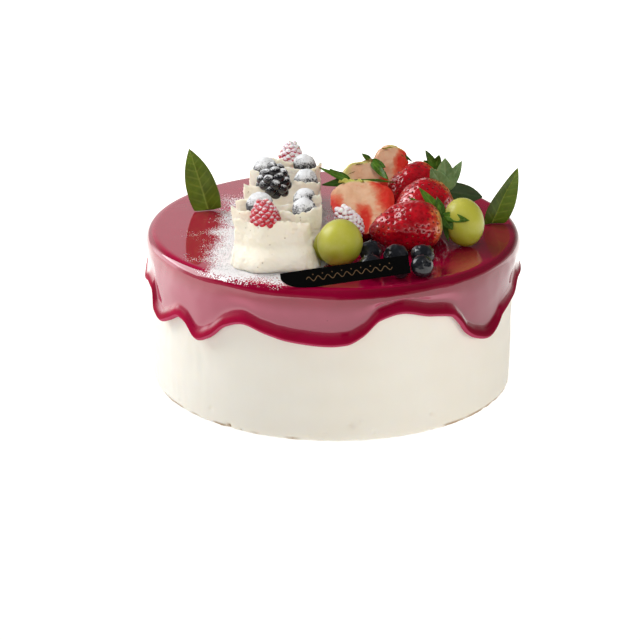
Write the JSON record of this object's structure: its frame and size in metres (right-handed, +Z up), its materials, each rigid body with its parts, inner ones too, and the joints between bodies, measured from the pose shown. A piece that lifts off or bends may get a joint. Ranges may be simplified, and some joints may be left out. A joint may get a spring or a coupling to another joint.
{
  "type": "blueberry cake",
  "caption": "Round cream cake under a dripping crimson berry glaze, topped with piped cream, berries, grapes, strawberries, two leaves and a chocolate plaque.",
  "frame": {"origin": "centre of the flat underside of the cake", "axes": "+Z up through the cake's middle; the side shown in the picture, with the plaque, faces -Y; +X is to its right"},
  "size_m": [0.2076, 0.2068, 0.1266],
  "materials": {
    "sponge_cream": "matte, finely pitted whipped cream",
    "glaze": "clear mirror gloss over deep crimson",
    "piped_cream": "matte, soft, finely pitted",
    "dark_bramble": "glossy drupelets under white sugar",
    "chocolate": "satin",
    "leaf": "satin with raised veins",
    "sugared_blueberry": "powdered white over near black",
    "raspberry": "satin drupelets with sugar",
    "blueberry": "satin, slightly wrinkled",
    "grape": "satin, slightly translucent",
    "strawberry": "syrup gloss",
    "strawberry_cut": "moist cut flesh, creamy core and red rim",
    "calyx": "satin"
  },
  "bodies": {
    "root": {"cake_body": "sponge_cream", "glaze": "glaze", "piped_cream": "piped_cream", "dark_bramble": "dark_bramble", "chocolate_plaque": "chocolate", "leaf_left": "leaf", "leaf_right": "leaf", "sugared_blueberry_1": "sugared_blueberry", "sugared_blueberry_2": "sugared_blueberry", "sugared_blueberry_3": "sugared_blueberry", "sugared_blueberry_4": "sugared_blueberry", "sugared_blueberry_5": "sugared_blueberry", "sugared_blueberry_6": "sugared_blueberry", "raspberry_front": "raspberry", "raspberry_rear": "raspberry", "raspberry_side": "raspberry", "blueberry_a": "blueberry", "blueberry_b": "blueberry", "blueberry_c": "blueberry", "blueberry_d": "blueberry", "blueberry_e": "blueberry", "blueberry_f": "blueberry", "grape_front": "grape", "grape_right": "grape", "grape_small": "grape", "strawberry_front": "strawberry", "strawberry_middle": "strawberry", "strawberry_rear": "strawberry", "strawberry_half_front": "strawberry_cut", "strawberry_half_middle": "strawberry_cut", "strawberry_half_rear": "strawberry_cut", "calyx_front": "calyx", "calyx_middle": "calyx", "calyx_rear": "calyx", "calyx_half_front": "calyx", "calyx_half_middle": "calyx", "calyx_half_rear": "calyx"}
  },
  "joints": []
}
